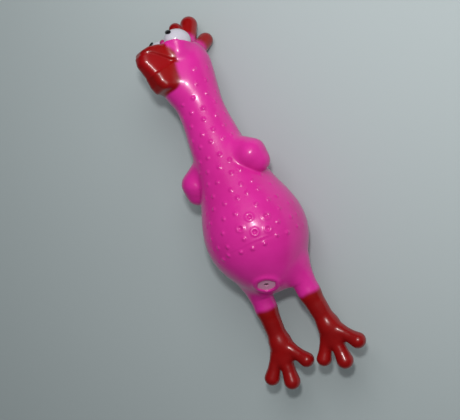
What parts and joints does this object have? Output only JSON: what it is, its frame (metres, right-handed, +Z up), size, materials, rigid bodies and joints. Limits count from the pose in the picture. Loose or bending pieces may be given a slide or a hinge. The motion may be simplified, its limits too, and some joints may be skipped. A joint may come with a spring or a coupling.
{
  "type": "squeaky rubber chicken",
  "caption": "Hollow soft vinyl chicken toy with a long neck, open beak, stubby wings, three-toed feet and a pressed-in squeaker.",
  "frame": {"origin": "centre of the bounding box on the surface the toy lies on", "axes": "+Z up, out of the belly; +Y along the neck towards the head; +X to the side the comb leans to"},
  "size_m": [0.054, 0.1813, 0.047],
  "materials": {
    "pink_vinyl": "glossy soft vinyl",
    "red_vinyl": "glossy soft vinyl, painted",
    "dark_red_vinyl": "glossy soft vinyl, painted",
    "white_vinyl": "glossy soft vinyl, painted",
    "black_vinyl": "glossy soft vinyl, painted",
    "milky_plastic": "milky translucent",
    "reed_metal": "thin strip"
  },
  "bodies": {
    "torso": {"torso_shell": "pink_vinyl", "squeaker_body": "milky_plastic", "squeaker_core": "milky_plastic", "squeaker_reed": "reed_metal"},
    "belly": {"belly_panel": "pink_vinyl"},
    "neck_lower": {"neck_lower": "pink_vinyl"},
    "neck_upper": {"neck_upper": "pink_vinyl"},
    "head": {"head_shell": "pink_vinyl", "upper_beak": "red_vinyl", "lower_beak": "red_vinyl", "mouth_web": "dark_red_vinyl", "comb": "red_vinyl", "eye_left": "white_vinyl", "eye_right": "white_vinyl", "pupil_left": "black_vinyl", "pupil_right": "black_vinyl"},
    "wing_left": {"wing_left": "pink_vinyl"},
    "leg_left": {"thigh_left": "pink_vinyl", "shin_left": "red_vinyl"},
    "foot_left": {"foot_left": "red_vinyl"},
    "wing_right": {"wing_right": "pink_vinyl"},
    "leg_right": {"thigh_right": "pink_vinyl", "shin_right": "red_vinyl"},
    "foot_right": {"foot_right": "red_vinyl"}
  },
  "joints": [
    {"name": "belly_squeeze", "type": "slide", "parent": "torso", "child": "belly", "axis": [0, 0, -1], "range_m": [0, 0.008], "stiffness_N_per_m": 400},
    {"name": "neck_nod", "type": "hinge", "parent": "torso", "child": "neck_lower", "pos_m": [0, 0.0265, 0.0234], "axis": [1, 0, 0], "range_deg": [-20, 20], "stiffness_Nm_per_rad": 0.25},
    {"name": "neck_sway", "type": "hinge", "parent": "neck_lower", "child": "neck_upper", "pos_m": [0, 0.041, 0.023], "axis": [0, 0, 1], "range_deg": [-20, 20], "stiffness_Nm_per_rad": 0.2},
    {"name": "head_turn", "type": "hinge", "parent": "neck_upper", "child": "head", "pos_m": [0, 0.055, 0.0218], "axis": [0, 0.9968, -0.0797], "range_deg": [-30, 30], "stiffness_Nm_per_rad": 0.15},
    {"name": "wing_left_flap", "type": "hinge", "parent": "torso", "child": "wing_left", "pos_m": [-0.0169, 0.0166, 0.0268], "axis": [0, 1, 0], "range_deg": [-15, 15], "stiffness_Nm_per_rad": 0.05},
    {"name": "wing_right_flap", "type": "hinge", "parent": "torso", "child": "wing_right", "pos_m": [0.0169, 0.0166, 0.0268], "axis": [0, 1, 0], "range_deg": [-15, 15], "stiffness_Nm_per_rad": 0.05},
    {"name": "leg_left_swing", "type": "hinge", "parent": "torso", "child": "leg_left", "pos_m": [-0.011, -0.038, 0.023], "axis": [1, 0, 0], "range_deg": [-20, 20], "stiffness_Nm_per_rad": 0.15},
    {"name": "leg_right_swing", "type": "hinge", "parent": "torso", "child": "leg_right", "pos_m": [0.011, -0.038, 0.023], "axis": [1, 0, 0], "range_deg": [-20, 20], "stiffness_Nm_per_rad": 0.15},
    {"name": "foot_left_flex", "type": "hinge", "parent": "leg_left", "child": "foot_left", "pos_m": [-0.0132, -0.069, 0.0205], "axis": [1, 0, 0], "range_deg": [-15, 15], "stiffness_Nm_per_rad": 0.05},
    {"name": "foot_right_flex", "type": "hinge", "parent": "leg_right", "child": "foot_right", "pos_m": [0.0132, -0.069, 0.0205], "axis": [1, 0, 0], "range_deg": [-15, 15], "stiffness_Nm_per_rad": 0.05}
  ]
}
